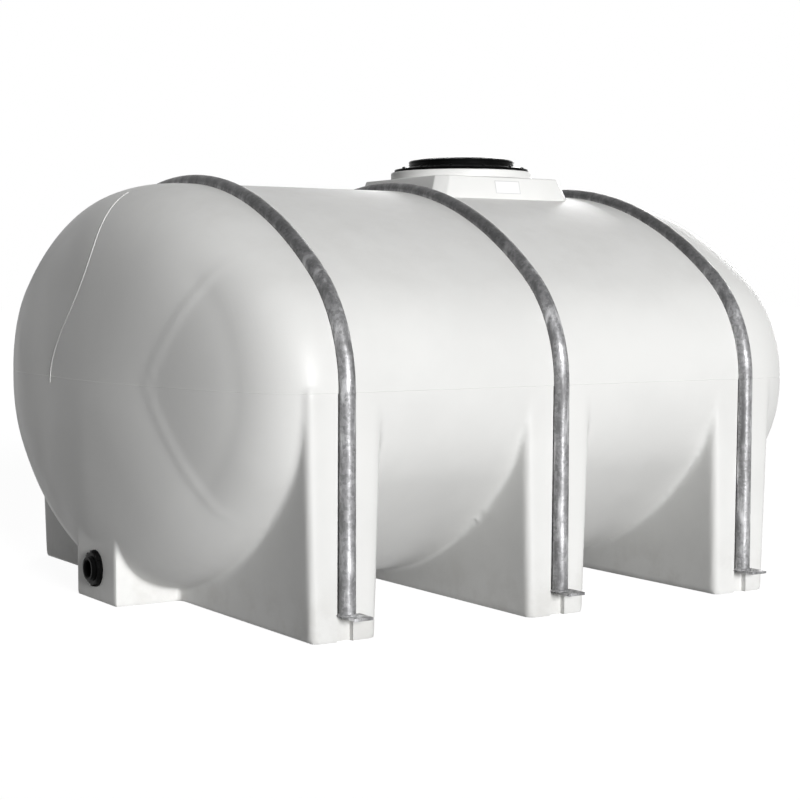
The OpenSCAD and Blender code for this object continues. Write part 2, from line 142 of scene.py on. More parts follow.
class TankMouldSettings(bpy.types.PropertyGroup):
    """Sizes of the moulded skin."""

    haunch_radius: bpy.props.FloatProperty(
        name="Haunch radius", description="Radius that joins crown and belly to the sides",
        default=0.41, min=0.3, max=0.5, unit="LENGTH")
    knuckle_depth: bpy.props.FloatProperty(
        name="Knuckle depth", description="Depth of each dome's rounded knuckle",
        default=0.285, min=0.2, max=0.35, unit="LENGTH")
    near_knuckle: bpy.props.FloatProperty(
        name="Near knuckle", description="Depth of the knuckle at the side of the fan panel",
        default=0.225, min=0.15, max=0.3, unit="LENGTH")
    lower_fullness: bpy.props.FloatProperty(
        name="Lower fullness", description="How much squarer the domes' profile is below",
        default=1.8, min=0, max=8)
    near_depth: bpy.props.FloatProperty(
        name="Near depth", description="Depth of the fan panel pressed into each dome",
        default=0.022, min=0.0, max=0.08, unit="LENGTH")
    far_depth: bpy.props.FloatProperty(
        name="Far depth", description="Depth of the bowed panel pressed into each dome",
        default=0.02, min=0.0, max=0.08, unit="LENGTH")
    ridge_height: bpy.props.FloatProperty(
        name="Ridge height", description="Height of the soft ridge along the fan's creases",
        default=0.004, min=0.0, max=0.02, unit="LENGTH")
    ridge_width: bpy.props.FloatProperty(
        name="Ridge width", description="Half the width of the soft ridge along the fan's creases",
        default=0.022, min=0.005, max=0.1, unit="LENGTH")
    crease_line: bpy.props.FloatProperty(
        name="Crease line", description="Radius of the bead along the bowed crease",
        default=0.003, min=0.0005, max=0.01, unit="LENGTH")
    panel_angle: bpy.props.FloatProperty(
        name="Panel angle", description="Angle that the fan panel spans, seen from the end",
        default=math.radians(92), subtype="ANGLE", unit="ROTATION")
    crease_place: bpy.props.FloatProperty(
        name="Crease place", description="Distance of a panel's crease from the dome's middle",
        default=0.384, min=0.3, max=0.45, unit="LENGTH")
    panel_rim: bpy.props.FloatProperty(
        name="Panel rim", description="Share of the section's size at which the bowed panel ends",
        default=0.953, min=0.8, max=1, subtype="FACTOR")
    panel_fade: bpy.props.FloatProperty(
        name="Panel fade", description="Share of the section's size over which the bowed panel ends",
        default=0.16, min=0.02, max=0.4, subtype="FACTOR")
    near_fade: bpy.props.FloatProperty(
        name="Near fade", description="Share of the section's size over which the fan panel ends",
        default=0.2, min=0.02, max=0.4, subtype="FACTOR")
    saddle_side_slope: bpy.props.FloatProperty(
        name="Saddle side slope", description="Outward run of the saddle's sides for each unit down",
        default=0.25, min=0, max=1)
    saddle_end_slope: bpy.props.FloatProperty(
        name="Saddle end slope", description="Outward run of the saddle's ends for each unit down",
        default=0.38, min=0, max=1)
    saddle_edge: bpy.props.FloatProperty(
        name="Saddle edge", description="Rounding of the edges of the saddle and the neck",
        default=0.004, min=0.001, max=0.01, unit="LENGTH")
    wall: bpy.props.FloatProperty(
        name="Wall", description="Thickness of the moulded wall",
        default=0.008, min=0.004, max=0.02, unit="LENGTH")
    leg_corner: bpy.props.FloatProperty(
        name="Leg corner", description="Radius of the legs' upright corners",
        default=0.022, min=0.005, max=0.05, unit="LENGTH")
    slot_margin: bpy.props.FloatProperty(
        name="Slot margin", description="Gap beside the hoop in the slots of the legs",
        default=0.0015, min=0.0, max=0.02, unit="LENGTH")
    slot_depth: bpy.props.FloatProperty(
        name="Slot depth", description="Depth of the slots in the legs behind the hoops",
        default=0.026, min=0.01, max=0.05, unit="LENGTH")
    channel_gap: bpy.props.FloatProperty(
        name="Channel gap", description="Gap between a hoop and its channel in the crown",
        default=0.0006, min=0.0, max=0.003, unit="LENGTH")
    grain: bpy.props.FloatProperty(
        name="Mesh grain", description="Size of the even faces that blend the moulding",
        default=0.0078, min=0.004, max=0.03, unit="LENGTH")
    blend_passes: bpy.props.IntProperty(
        name="Blend passes", description="Smoothing passes that round edges and corners",
        default=4, min=0, max=30)
    face_limit: bpy.props.IntProperty(
        name="Face limit", description="Most triangles that the outer skin may have",
        default=140000, min=20000, max=180000)
    line_width: bpy.props.FloatProperty(
        name="Parting line", description="Radius of the bead along the mould's parting line",
        default=0.0009, min=0.0005, max=0.004, unit="LENGTH")


class TankFittingSettings(bpy.types.PropertyGroup):
    """Sizes of the lid, the clamp ring, the outlet and the small parts."""

    edge: bpy.props.FloatProperty(
        name="Edge", description="Radius of the rounded edges of turned parts",
        default=0.0012, min=0.0003, max=0.004, unit="LENGTH")
    skirt_fall: bpy.props.FloatProperty(
        name="Skirt fall", description="Fall of the clamp ring's sloping skirt",
        default=0.008, min=0.0, max=0.012, unit="LENGTH")
    screws: bpy.props.IntProperty(
        name="Screws", description="Number of screws around the clamp ring",
        default=12, min=4, max=24)
    screw_radius: bpy.props.FloatProperty(
        name="Screw radius", description="Radius of a screw's head",
        default=0.006, min=0.003, max=0.012, unit="LENGTH")
    lid_step: bpy.props.FloatProperty(
        name="Lid step", description="Depth of the step around the lid's dished top",
        default=0.003, min=0.0, max=0.008, unit="LENGTH")
    lugs: bpy.props.IntProperty(
        name="Lugs", description="Number of lugs around the outlet's nut",
        default=8, min=4, max=12)
    lug_depth: bpy.props.FloatProperty(
        name="Lug depth", description="Distance that the nut's lugs stand out",
        default=0.007, min=0.002, max=0.012, unit="LENGTH")
    thread_pitch: bpy.props.FloatProperty(
        name="Thread pitch", description="Distance between the ridges of the outlet's thread",
        default=0.0024, min=0.001, max=0.006, unit="LENGTH")
    weld: bpy.props.FloatProperty(
        name="Weld", description="Size of the weld bead between a hoop and its foot plate",
        default=0.005, min=0.002, max=0.01, unit="LENGTH")
    bolt_hole: bpy.props.FloatProperty(
        name="Bolt hole", description="Diameter of the hole in a foot plate",
        default=0.014, min=0.008, max=0.02, unit="LENGTH")
    label_size: bpy.props.FloatVectorProperty(
        name="Label size", description="Width and height of the blank label",
        default=(0.1025, 0.0445), size=2, min=0.01, unit="LENGTH")
    label_place: bpy.props.FloatVectorProperty(
        name="Label place", description="Middle of the label, along the tank and upright",
        default=(0.333, 1.31), size=2, unit="LENGTH")


class TankFinishSettings(bpy.types.PropertyGroup):
    """Colours of the tank's finishes."""

    poly: bpy.props.FloatVectorProperty(
        name="Polyethylene", description="Colour of the moulding",
        default=(0.84, 0.84, 0.825), subtype="COLOR", size=3, min=0, max=1)
    zinc: bpy.props.FloatVectorProperty(
        name="Zinc", description="Colour of the galvanised hoops",
        default=(0.27, 0.27, 0.275), subtype="COLOR", size=3, min=0, max=1)
    # Painted shade: dark colour for the hoops' upward tops, standing for the dark surroundings they
    # reflect there
    dull_zinc: bpy.props.FloatVectorProperty(
        name="Dull zinc", description="Colour of the weathered tops of the hoops",
        default=(0.028, 0.028, 0.029), subtype="COLOR", size=3, min=0, max=1)
    # Colour of the dust on upward faces and of the patchy darkening towards the floor
    grime: bpy.props.FloatVectorProperty(
        name="Grime", description="Colour of dust and splashes",
        default=(0.42, 0.4, 0.36), subtype="COLOR", size=3, min=0, max=1)
    black: bpy.props.FloatVectorProperty(
        name="Black plastic", description="Colour of the lid, ring and fitting",
        default=(0.0035, 0.0035, 0.0035), subtype="COLOR", size=3, min=0, max=1)
    label: bpy.props.FloatVectorProperty(
        name="Label", description="Colour of the blank label",
        default=(0.9, 0.9, 0.9), subtype="COLOR", size=3, min=0, max=1)


class TankStageSettings(bpy.types.PropertyGroup):
    """Floor, sky and lamps around the tank."""

    floor_size: bpy.props.FloatProperty(
        name="Floor size", description="Side of the square floor",
        default=160, min=10, unit="LENGTH")
    floor_white: bpy.props.FloatProperty(
        name="Floor white", description="Whiteness of the floor under the lamps",
        default=0.25, min=0, max=1, subtype="FACTOR")
    floor_glow: bpy.props.FloatProperty(
        name="Floor glow", description="Light that lifts the floor's own picture to white",
        default=0.94, min=0, max=1, subtype="FACTOR")
    sky: bpy.props.FloatProperty(
        name="Sky", description="Light that reaches the tank from all around",
        default=0.04, min=0, max=1, subtype="FACTOR")
    key: bpy.props.FloatProperty(
        name="Key", description="Strength of the key lamp", default=3.12, min=0)
    key_from: bpy.props.FloatVectorProperty(
        name="Key from", description="Direction that the key lamp shines from",
        default=(-0.13, -0.95, 0.19), subtype="DIRECTION", size=3)
    key_angle: bpy.props.FloatProperty(
        name="Key softness", description="Angle that the key lamp spans",
        default=math.radians(16), subtype="ANGLE", unit="ROTATION")
    back: bpy.props.FloatProperty(
        name="Back", description="Strength of the lamp behind the tank", default=1.5, min=0)
    back_from: bpy.props.FloatVectorProperty(
        name="Back from", description="Where the lamp behind the tank stands",
        default=(0.72, 0.68, 0.16), subtype="DIRECTION", size=3)
    fill: bpy.props.FloatProperty(
        name="Fill", description="Strength of the fill lamp", default=0.1, min=0)
    fill_from: bpy.props.FloatVectorProperty(
        name="Fill from", description="Direction that the fill lamp shines from",
        default=(-0.75, -0.55, 0.35), subtype="DIRECTION", size=3)
    fill_angle: bpy.props.FloatProperty(
        name="Fill softness", description="Angle that the fill lamp and the lamp behind span",
        default=math.radians(30), subtype="ANGLE", unit="ROTATION")


# ---------------------------------------------------------------- modelling helpers

def set_mode(mode):
    """Changes the active object's mode where it differs."""
    if bpy.context.object and bpy.context.object.mode != mode:
        bpy.ops.object.mode_set(mode=mode)


def deselect_all():
    """Leaves edit mode with nothing selected."""
    set_mode("OBJECT")
    bpy.ops.object.select_all(action="DESELECT")


def use(piece):
    """Makes one piece active and the only one selected."""
    deselect_all()
    piece.select_set(True)
    bpy.context.view_layer.objects.active = piece


def named(name):
    """Names the piece that was just added and puts its place into its mesh."""
    set_mode("OBJECT")
    piece = bpy.context.object
    piece.name = name
    piece.data.name = name
    use(piece)
    bpy.ops.object.transform_apply(location=True, rotation=True, scale=True)
    return piece


def block(name, low, high):
    """Box between two corners."""
    deselect_all()
    low, high = Vector(low), Vector(high)
    bpy.ops.mesh.primitive_cube_add(size=1, location=(low + high) / 2)
    bpy.context.object.scale = high - low
    return named(name)


def drum(name, centre, radius, depth, vertices=96, rotation=(0, 0, 0)):
    """Cylinder about a centre."""
    deselect_all()
    bpy.ops.mesh.primitive_cylinder_add(
        vertices=vertices, radius=radius, depth=depth, location=centre, rotation=rotation)
    return named(name)


def pick(piece, kind, test):
    """Selects a piece's vertices, edges or faces by a test of their middle, in edit mode."""
    use(piece)
    set_mode("EDIT")
    bpy.ops.mesh.select_mode(type=kind)
    bpy.ops.mesh.select_all(action="DESELECT")
    mesh = bmesh.from_edit_mesh(piece.data)
    items = {"VERT": mesh.verts, "EDGE": mesh.edges, "FACE": mesh.faces}[kind]
    for item in items:
        if kind == "VERT":
            item.select = test(item.co)
        elif kind == "EDGE":
            item.select = test(item.verts[0].co, item.verts[1].co)
        else:
            item.select = test(item.calc_center_median(), item.normal)
    mesh.select_flush_mode()
    bmesh.update_edit_mesh(piece.data)


def bevel(piece, test, width, segments):
    """Rounds the edges that pass a test."""
    pick(piece, "EDGE", test)
    bpy.ops.mesh.bevel(offset=width, segments=segments, affect="EDGES")
    set_mode("OBJECT")


def modify(piece, kind, **values):
    """Adds a modifier and applies it."""
    use(piece)
    bpy.ops.object.modifier_add(type=kind)
    modifier = piece.modifiers[-1]
    for key, value in values.items():
        setattr(modifier, key, value)
    bpy.ops.object.modifier_apply(modifier=modifier.name)


def cut(piece, cutter, operation="DIFFERENCE"):
    """Cuts a piece with another, or adds the other to it, and removes the other."""
    modify(piece, "BOOLEAN", object=cutter, operation=operation, solver="MANIFOLD")
    bpy.data.objects.remove(cutter)


def join(pieces, name):
    """Joins pieces into the first one."""
    deselect_all()
    for piece in pieces:
        piece.select_set(True)
    bpy.context.view_layer.objects.active = pieces[0]
    bpy.ops.object.join()
    pieces[0].name = name
    pieces[0].data.name = name
    return pieces[0]


def copied(piece, name, shift=(0, 0, 0)):
    """Copy of a piece with its own mesh, moved by a shift."""
    use(piece)
    bpy.ops.object.duplicate()
    bpy.context.object.location = shift
    return named(name)


def triangles(piece):
    """Number of triangles that a piece's faces make."""
    return sum(len(face.vertices) - 2 for face in piece.data.polygons)


def thin(piece, limit):
    """Thins a piece's mesh to a number of triangles."""
    modify(piece, "DECIMATE", ratio=min(1, limit / triangles(piece)))


def smooth(piece, angle=40):
    """Shades a piece smooth up to an angle in degrees between its faces."""
    use(piece)
    bpy.ops.object.shade_smooth_by_angle(angle=math.radians(angle))


def turned(name, profile, centre, steps=128, axis=(0, 0, 1)):
    """Solid of revolution of a profile of (radius, height) points about an axis at a centre."""
    deselect_all()
    bpy.ops.mesh.primitive_circle_add(vertices=3, radius=1, location=(0, 0, 0))
    piece = bpy.context.object
    set_mode("EDIT")
    mesh = bmesh.from_edit_mesh(piece.data)
    bmesh.ops.delete(mesh, geom=list(mesh.verts), context="VERTS")
    points = [mesh.verts.new((radius, 0, height)) for radius, height in profile]
    for start, end in zip(points, points[1:]):
        mesh.edges.new((start, end)).select = True
    for point in points:
        point.select = True
    mesh.select_flush(True)
    bmesh.update_edit_mesh(piece.data)
    bpy.ops.mesh.spin(steps=steps, angle=math.tau, center=(0, 0, 0), axis=(0, 0, 1))
    bpy.ops.mesh.select_all(action="SELECT")
    bpy.ops.mesh.remove_doubles(threshold=1e-6)
    bpy.ops.mesh.normals_make_consistent(inside=False)
    set_mode("OBJECT")
    turn = Vector((0, 0, 1)).rotation_difference(Vector(axis)).to_matrix().to_4x4()
    piece.matrix_world = Matrix.Translation(centre) @ turn
    return named(name)


def finished(piece, body, slot, material, *nodes):
    """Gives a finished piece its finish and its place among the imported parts."""
    piece.data.materials.clear()
    piece.data.materials.append(finish_for(material))
    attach(piece, body)
    if nodes:
        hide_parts(*nodes)


# ---------------------------------------------------------------- form of the moulding

def quarter_point(rise, share, radius):
    """Point of one quarter of the section, at a share of the way from side to middle."""
    arch = (HALF_W ** 2 - 2 * HALF_W * radius + rise ** 2) / (2 * (rise - radius))
    turn = math.atan2(arch - rise, HALF_W - radius)
    run = share * (radius * turn + arch * (math.pi / 2 - turn))
    if run < radius * turn:
        angle = run / radius
        return HALF_W - radius + radius * math.cos(angle), radius * math.sin(angle)
    angle = turn + (run - radius * turn) / arch
    return arch * math.cos(angle), arch * math.sin(angle) - (arch - rise)


def section_point(turn, radius):
    """Point of the oval section after a share of one turn from its +Y side, over the crown."""
    quarter, share = divmod(turn * 4, 1)
    quarter = int(quarter) % 4
    along = share if quarter % 2 == 0 else 1 - share
    y, z = quarter_point(CROWN_RISE if quarter < 2 else BELLY_DROP, along, radius)
    return (y if quarter in (0, 3) else -y), (z if quarter < 2 else -z)


def dome_rise(share, knuckle, power=KNUCKLE_POWER):
    """Distance of a dome's surface from its rim, at a share of the section's size."""
    bulge = DOME_TIP - HALF_LEN - knuckle
    return knuckle * max(0, 1 - share ** power) ** KNUCKLE_ROOT + bulge * (1 - share * share)


def near_crease(z, settings):
    """Distance from the dome's middle of the straight creases that bound the fan panel."""
    slope = math.tan(settings.panel_angle / 2)
    return settings.crease_place - CREASE_ROUND + math.hypot(CREASE_ROUND, z / slope)


def dome_press(y, z, share, settings):
    """How far a dome's point lies behind the plain dome, towards the barrel."""
    place = settings.crease_place
    down = max(0, -z / (share * BELLY_DROP))
    plain = dome_rise(share, settings.knuckle_depth)
    lower = plain - dome_rise(
        share, settings.knuckle_depth, KNUCKLE_POWER + settings.lower_fullness * down)
    if y > 0:
        ramp = min(1, y / place)
        rim = min(1, max(0, (settings.panel_rim - share) / settings.panel_fade))
        return settings.far_depth * ramp * ramp * (3 - 2 * ramp) * rim + lower
    beyond = -y - near_crease(z, settings)
    ramp = max(0, min(1, 1 + beyond / place))
    rim = min(1, (1 - share) / settings.near_fade)
    ridge = settings.ridge_height * math.exp(-(beyond / settings.ridge_width) ** 2)
    fuller = (-y / (share * HALF_W)) ** 2
    gap = plain - dome_rise(share, settings.near_knuckle, NEAR_POWER)
    return (settings.near_depth * ramp * ramp - ridge) * rim + fuller * gap + lower


def tank_body(name, settings, inset=0.0, segments=480, rings=40, grooves=True):
    """Closed oval barrel with domed ends, as a loop extruded along the tank and scaled in.

    An inset makes it smaller all round, and grooves lower the crown under the hoops.
    """
    radius = settings.haunch_radius
    deselect_all()
    bpy.ops.mesh.primitive_circle_add(vertices=segments, radius=1, fill_type="NOTHING")
    body = bpy.context.object
    body.name = name
    squeeze = 1 - inset / PIPE_Y
    for index, vertex in enumerate(body.data.vertices):
        y, z = section_point(index / segments, radius)
        vertex.co = (-HALF_LEN, y * squeeze, PARTING_Z + z * squeeze)
    set_mode("EDIT")
    bpy.ops.mesh.select_mode(type="VERT")
    bpy.ops.mesh.select_all(action="SELECT")
    mesh = bmesh.from_edit_mesh(body.data)
    mesh.verts.layers.float.new("dome_share")

    stops = [-HALF_LEN, HALF_LEN]
    groove = PIPE_R + GROOVE_SPARE + inset
    if grooves:
        for x in LEG_X:
            stops += [x - groove - GROOVE_EDGE, x - groove, x + groove, x + groove + GROOVE_EDGE]
    stops.sort()
    depth = PIPE_R - PIPE_STAND + GROOVE_SPARE
    for before, after in zip(stops, stops[1:]):
        bpy.ops.mesh.extrude_region_move(
            TRANSFORM_OT_translate={"value": (after - before, 0, 0)})
    shortened = 1 - inset / (DOME_TIP - HALF_LEN)
    for side in (-1, 1):
        pick_rim(body, side)
        for step in range(1, rings):
            last = math.cos(math.pi / 2 * (step - 1) / rings)
            share = math.cos(math.pi / 2 * step / rings)
            reach = dome_rise(share, settings.knuckle_depth) - dome_rise(last, settings.knuckle_depth)
            bpy.ops.mesh.extrude_region_move(
                TRANSFORM_OT_translate={"value": (side * reach * shortened, 0, 0)})
            bpy.ops.transform.resize(
                value=(1, share / last, share / last), center_override=(0, 0, PARTING_Z))
            mesh = bmesh.from_edit_mesh(body.data)
            layer = mesh.verts.layers.float["dome_share"]
            for vertex in mesh.verts:
                if vertex.select:
                    vertex[layer] = share
        bpy.ops.mesh.merge(type="CENTER")
        mesh = bmesh.from_edit_mesh(body.data)
        layer = mesh.verts.layers.float["dome_share"]
        for vertex in mesh.verts:
            if vertex.select:
                vertex.co.x = side * (DOME_TIP - inset)
                vertex[layer] = DOME_CENTRE_SHARE
    mesh = bmesh.from_edit_mesh(body.data)
    layer = mesh.verts.layers.float["dome_share"]
    for vertex in mesh.verts:
        share = vertex[layer]
        if share:
            y, z = vertex.co.y, vertex.co.z - PARTING_Z
            side = math.copysign(1, -vertex.co.x)
            vertex.co.x += side * dome_press(y * side, z, share, settings)
        elif grooves and vertex.co.z > PARTING_Z - SKIN_MATCH:
            if any(abs(vertex.co.x - x) < groove + SKIN_MATCH for x in LEG_X):
                vertex.co += inward(vertex.co, radius) * depth
    bpy.ops.mesh.select_all(action="SELECT")
    bpy.ops.mesh.normals_make_consistent(inside=False)
    set_mode("OBJECT")
    return named(name)


def pick_rim(body, side):
    """Selects the open loop at one end of the barrel."""
    pick(body, "VERT", lambda point: point.x * side > HALF_LEN - SKIN_MATCH)


def inward(point, radius):
    """Direction from a point of the barrel's skin towards the middle of its arc."""
    z = point.z - PARTING_Z
    rise = CROWN_RISE if z >= 0 else BELLY_DROP
    arch = (HALF_W ** 2 - 2 * HALF_W * radius + rise ** 2) / (2 * (rise - radius))
    turn = math.atan2(arch - rise, HALF_W - radius)
    side = math.copysign(HALF_W - radius, point.y)
    away = Vector((0, side - point.y, -z))
    if math.atan2(abs(z), abs(point.y) - abs(side)) > turn:
        away = Vector((0, -point.y, math.copysign(1, z) * (rise - arch) - z))
    return away.normalized()


def leg_block(name, node, settings, inset=0.0):
    """Leg with drafted faces and rounded upright corners, fading into the barrel at its top."""
    low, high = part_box(node)
    middle = ((low.x + high.x) / 2, 0, 0)
    piece = block(name, (low.x + inset, low.y + inset, inset),
                  (high.x - inset, high.y - inset, PARTING_Z))
    pick(piece, "FACE", lambda centre, normal: normal.z < -0.9)
    bpy.ops.transform.resize(value=FOOT_SHARE, center_override=middle)
    bevel(piece, lambda a, b: abs(a.z - b.z) > PARTING_Z / 2, settings.leg_corner - inset / 2, 5)
    pick(piece, "FACE", lambda centre, normal: normal.z > 0.9)
    bpy.ops.mesh.extrude_region_move(TRANSFORM_OT_translate={"value": (0, 0, LEG_SUNK)})
    bpy.ops.transform.resize(value=LEG_SUNK_SIZE, center_override=middle)
    set_mode("OBJECT")
    return piece


def foot_share():
    """Size of a leg's foot against its top, along and across the tank."""
    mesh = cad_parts["leg_middle"].data
    near_floor = 0.001
    feet = [vertex.co for vertex in mesh.vertices if vertex.co.z < near_floor]
    low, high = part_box("leg_middle")
    return (
        max(point.x for point in feet) / high.x,
        max(point.y for point in feet) / high.y,
        1,
    )


FOOT_SHARE = foot_share()


def saddle_block(name, settings, inset=0.0):
    """Saddle with sloping sides and cut-off corners, down into the crown."""
    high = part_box("manway_saddle")[1]
    foot_z = CROWN_HIGH.z - SADDLE_SUNK
    fall = high.z - foot_z
    points = [vertex.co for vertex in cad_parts["manway_saddle"].data.vertices]
    top = [point for point in points if point.z > high.z - SKIN_MATCH]
    half_x = max(point.x for point in top) - MANWAY.x - SADDLE_TRIM - inset
    half_y = max(point.y for point in top) - inset
    piece = block(name, (MANWAY.x - half_x, -half_y, foot_z),
                  (MANWAY.x + half_x, half_y, high.z - inset))
    bevel(piece, lambda a, b: abs(a.z - b.z) > fall / 2, SADDLE_CORNER * math.sqrt(0.5), 1)
    pick(piece, "FACE", lambda centre, normal: normal.z < -0.9)
    bpy.ops.transform.resize(
        value=((half_x + settings.saddle_end_slope * fall) / half_x,
               (half_y + settings.saddle_side_slope * fall) / half_y, 1),
        center_override=(MANWAY.x, 0, 0))
    set_mode("OBJECT")
    return piece


def slot_cutters(settings, grow=0.0):
    """Bars that cut the hoops' slots into the legs and the sides of the belly."""
    bars = []
    past_side, under_feet = 0.2, -0.05
    half = PIPE_R + settings.slot_margin + grow
    inner, outer = HALF_W - settings.slot_depth - grow, HALF_W + past_side
    for x in LEG_X:
        for side in (-1, 1):
            low_y, high_y = sorted((side * inner, side * outer))
            bars.append(block("slot", (x - half, low_y, under_feet), (x + half, high_y, PARTING_Z)))
    return join(bars, "slots")


def rod(name, points, radius, sides=1):
    """Round rod along a line of points, with closed ends."""
    deselect_all()
    bpy.ops.mesh.primitive_circle_add(vertices=len(points), fill_type="NOTHING")
    line = bpy.context.object
    for vertex, point in zip(line.data.vertices, points):
        vertex.co = point
    ends = [Vector(points[0]), Vector(points[-1])]
    pick(line, "EDGE", lambda a, b: all(min((a - e).length, (b - e).length) < 1e-5 for e in ends))
    bpy.ops.mesh.delete(type="EDGE_FACE")
    set_mode("OBJECT")
    return swept(line, name, radius, sides)


def swept(line, name, radius, sides):
    """Turns a piece's lone edges into round rods."""
    use(line)
    bpy.ops.object.convert(target="CURVE")
    line = bpy.context.object
    line.data.bevel_depth = radius
    line.data.bevel_resolution = sides
    line.data.use_fill_caps = True
    bpy.ops.object.convert(target="MESH")
    line = bpy.context.object
    set_mode("EDIT")
    bpy.ops.mesh.select_all(action="SELECT")
    bpy.ops.mesh.remove_doubles(threshold=1e-6)
    bpy.ops.mesh.normals_make_consistent(inside=False)
    return named(name)


def hoop_line(x, radius, low):
    """Points along the middle of a hoop's pipe, from one foot over the crown to the other."""
    points = [Vector((x, PIPE_Y, low))]
    steps = 96
    for step in range(steps + 1):
        y, z = section_point(step / steps / 2, radius)
        skin = Vector((x, y, PARTING_Z + z))
        points.append(skin - inward(skin, radius) * PIPE_STAND)
    points.append(Vector((x, -PIPE_Y, low)))
    return points


def cavity(settings):
    """Inner face of the wall, as one closed form inside the moulding."""
    wall = settings.wall
    leg_space_top = PARTING_Z - 0.15
    into_belly = 0.1
    hole_depth = 0.06
    mouth_depth = 0.16
    mouth_drop = 0.02
    space = tank_body("cavity", settings, wall, segments=160, rings=16)
    for node in LEGS:
        leg = leg_block("leg_space", node, settings, wall)
        cut(leg, block("strip", (-FAR_OUT, -FAR_OUT, leg_space_top), (FAR_OUT, FAR_OUT, FAR_OUT)))
        cut(space, leg, "UNION")
    cut(space, slot_cutters(settings, wall))
    low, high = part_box("outlet_sump")
    cut(space, block("sump_space", (low.x + wall, low.y + wall, wall),
                     (high.x + into_belly, high.y - wall, high.z - wall)), "UNION")
    middle = middle_of("outlet_nut")
    cut(space, drum("outlet_hole", (low.x, middle.y, middle.z), OUTLET_R, hole_depth, 64,
                    (0, math.pi / 2, 0)), "UNION")
    cut(space, saddle_block("saddle_space", settings, wall), "UNION")
    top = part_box("manway_neck")[1].z
    cut(space, drum("mouth", (MANWAY.x, 0, top - mouth_drop), MOUTH_R, mouth_depth, 128), "UNION")
    return space


def parting_bead(body, settings):
    """Thin bead where the halves of the mould met."""
    line = copied(body, "parting_line")
    use(line)
    set_mode("EDIT")
    bpy.ops.mesh.select_all(action="SELECT")
    bpy.ops.mesh.bisect(plane_co=(0, 0, PARTING_Z), plane_no=(0, 0, 1),
                        clear_inner=True, clear_outer=True)
    set_mode("OBJECT")
    return swept(line, "parting_line", settings.line_width, 0)


def crease_bead(body, settings, side):
    """Fine raised line along the bowed crease of one dome."""
    path = [Vector(place) for place in CREASE_PATH]
    for _ in range(CREASE_CORNER_CUTS):
        cuts = [a.lerp(b, share) for a, b in zip(path, path[1:]) for share in (0.25, 0.75)]
        path = [path[0], *cuts, path[-1]]
    points = []
    for place in path:
        start = Vector((-side * FAR_OUT, side * place.x, PARTING_Z + place.y))
        found, point, normal, _ = body.ray_cast(start, Vector((side, 0, 0)))
        if not found:
            raise RuntimeError("the crease line misses the dome")
        points.append(point - normal * settings.crease_line * CREASE_SINK)
    return rod("crease_line", points, settings.crease_line, 1)


class TANK_OT_add_moulding(bpy.types.Operator):
    """Add the one-piece moulded tank with its legs, sump, saddle and neck"""

    bl_idname = "tank.add_moulding"
    bl_label = "Add moulding"

    def execute(self, context):
        settings = context.scene.tank_mould
        body = tank_body("tank_moulding", settings, grooves=False)
        parts = [body]
        for node in LEGS:
            parts.append(leg_block("leg", node, settings))
        low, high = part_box("outlet_sump")
        parts.append(block("sump", (low.x, low.y, 0), (high.x, high.y, high.z)))
        saddle = self.saddle_and_neck(settings)
        join(parts, "tank_moulding")
        modify(body, "REMESH", mode="VOXEL", voxel_size=settings.grain)
        modify(body, "SMOOTH", factor=0.5, iterations=settings.blend_passes)
        thin(body, settings.face_limit)
        cut(body, saddle, "UNION")
        cut(body, slot_cutters(settings))
        for x in LEG_X:
            points = hoop_line(x, settings.haunch_radius, PARTING_Z - CHANNEL_SUNK)
            cut(body, rod("channel", points, PIPE_R + settings.channel_gap, 10))
        cut(body, cavity(settings))
        lines = [parting_bead(body, settings)]
        lines += [crease_bead(body, settings, side) for side in (-1, 1)]
        join([body, *lines], "tank_moulding")
        smooth(body, 38)
        finished(body, "tank", "moulded_shell", "natural_polyethylene", *MOULDED)
        return {"FINISHED"}

    def saddle_and_neck(self, settings):
        """Saddle with the round neck on it, their sharp edges rounded."""
        saddle = saddle_block("saddle", settings)
        low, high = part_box("manway_neck")
        neck_r = (high.x - low.x) / 2
        neck_z = high.z - NECK_SUNK / 2
        cut(saddle, drum("neck", (MANWAY.x, 0, neck_z), neck_r, NECK_SUNK, 192), "UNION")
        pick(saddle, "EDGE", lambda a, b: False)
        bpy.ops.mesh.edges_select_sharp(sharpness=math.radians(20))
        bpy.ops.mesh.bevel(offset=settings.saddle_edge, segments=3, affect="EDGES")
        set_mode("OBJECT")
        return saddle


# ---------------------------------------------------------------- lid, ring and seals

def rounded(points, radius, steps=3):
    """Closed profile of (radius, height) points with its corners rounded."""
    result = []
    count = len(points)
    for index, corner in enumerate(points):
        here = Vector(corner)
        before, after = Vector(points[index - 1]), Vector(points[(index + 1) % count])
        reach = min(radius, (before - here).length * 0.4, (after - here).length * 0.4)
        first = here + (before - here).normalized() * reach
        last = here + (after - here).normalized() * reach
        for step in range(steps + 1):
            share = step / steps
            result.append(first.lerp(here, share).lerp(here.lerp(last, share), share))
    return [(point.x, point.y) for point in result + result[:1]]


def ring_part(name, node, profile, edge, axis=(0, 0, 1)):
    """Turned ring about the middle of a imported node, with the corners of its profile rounded."""
    piece = turned(name, rounded(profile, edge), middle_of(node), 160, axis)
    smooth(piece, 35)
    return piece


class TANK_OT_add_seals(bpy.types.Operator):
    """Add the rubber gaskets of the neck, the lid and the outlet"""

    bl_idname = "tank.add_seals"
    bl_label = "Add seals"

    def execute(self, context):
        edge = context.scene.tank_fitting.edge
        for node, inner, axis in (
                ("neck_gasket", MOUTH_R, (0, 0, 1)), ("lid_gasket", LID_SEAL_R, (0, 0, 1)),
                ("outlet_gasket", OUTLET_R, (-1, 0, 0))):
            low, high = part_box(node)
            outer = (high.y - low.y) / 2
            half = (high.z - low.z if axis[2] else high.x - low.x) / 2
            profile = [(inner, -half), (outer, -half), (outer, half), (inner, half)]
            piece = ring_part(node + "_ring", node, profile, edge, axis)
            finished(piece, "tank", "gasket_rubber", "seal_rubber", node)
        return {"FINISHED"}


